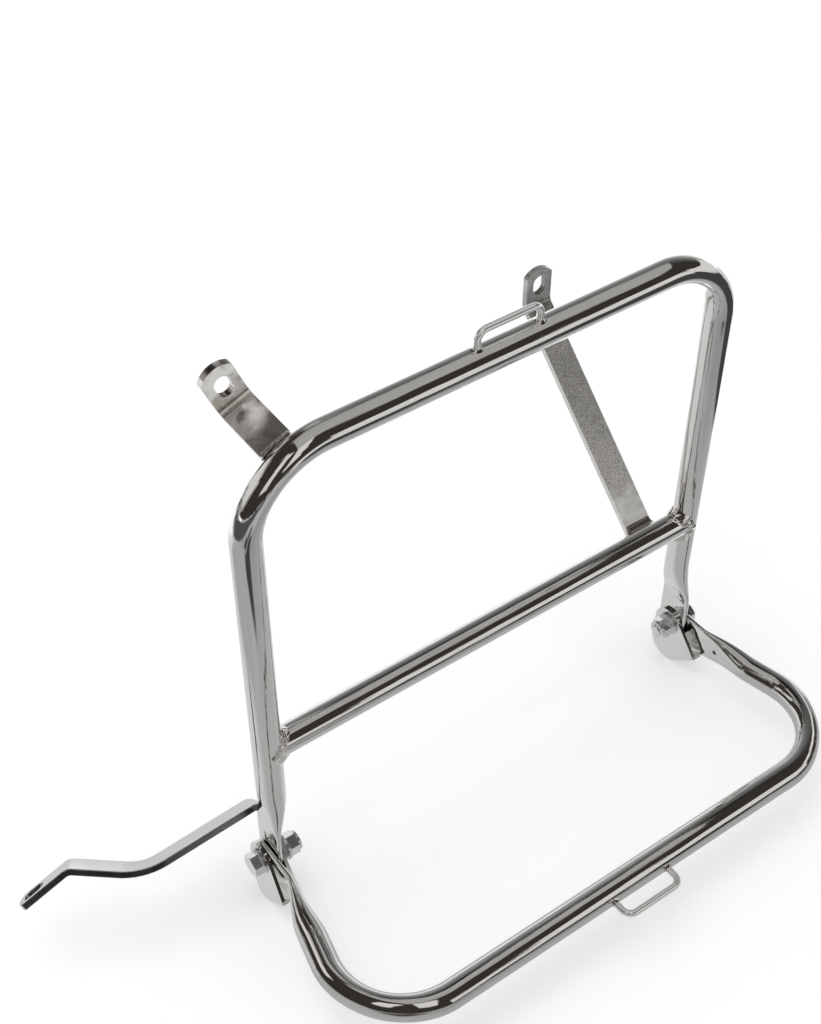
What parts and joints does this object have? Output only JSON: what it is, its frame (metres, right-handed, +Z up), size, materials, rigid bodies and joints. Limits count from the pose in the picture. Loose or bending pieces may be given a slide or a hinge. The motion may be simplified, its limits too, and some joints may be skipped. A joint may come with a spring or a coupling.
{
  "type": "pannier frame",
  "caption": "Tubular side luggage frame: an upright hoop with a crossbar, a fold-up shelf hoop on bolted side hinges, wire strap loops and bent flat mounting straps.",
  "frame": {"origin": "middle of the shelf's hinge line, the inner corner where a bag's lower back edge sits", "axes": "+X along the top bar, to the long strap's end; +Y inboard to the vehicle, so -Y is outboard over the shelf; +Z up"},
  "size_m": [0.4572, 0.2681, 0.3458],
  "materials": {
    "chrome_tube": "polished chrome plate",
    "satin_strap": "satin, slightly grainy plate with bright edges",
    "zinc_hardware": "bright zinc plate",
    "nut_ring": "pale nylon"
  },
  "bodies": {
    "frame": {"main_hoop": "chrome_tube", "crossbar": "chrome_tube", "hinge_clip_left": "chrome_tube", "hinge_clip_right": "chrome_tube", "pivot_bolt_left": "zinc_hardware", "pivot_bolt_right": "zinc_hardware", "lock_nut_left": "zinc_hardware", "lock_nut_right": "zinc_hardware", "nut_insert_left": "nut_ring", "nut_insert_right": "nut_ring", "head_washer_left": "zinc_hardware", "head_washer_right": "zinc_hardware", "nut_washer_left": "zinc_hardware", "nut_washer_right": "zinc_hardware", "top_loop": "chrome_tube", "upper_strap": "satin_strap", "long_strap": "satin_strap", "lower_strap": "satin_strap"},
    "shelf": {"shelf_hoop": "chrome_tube", "shelf_loop": "chrome_tube"}
  },
  "joints": [
    {"name": "shelf_fold", "type": "hinge", "parent": "frame", "child": "shelf", "pos_m": [0, 0, 0], "axis": [-1, 0, 0], "range_deg": [0, 78]}
  ]
}
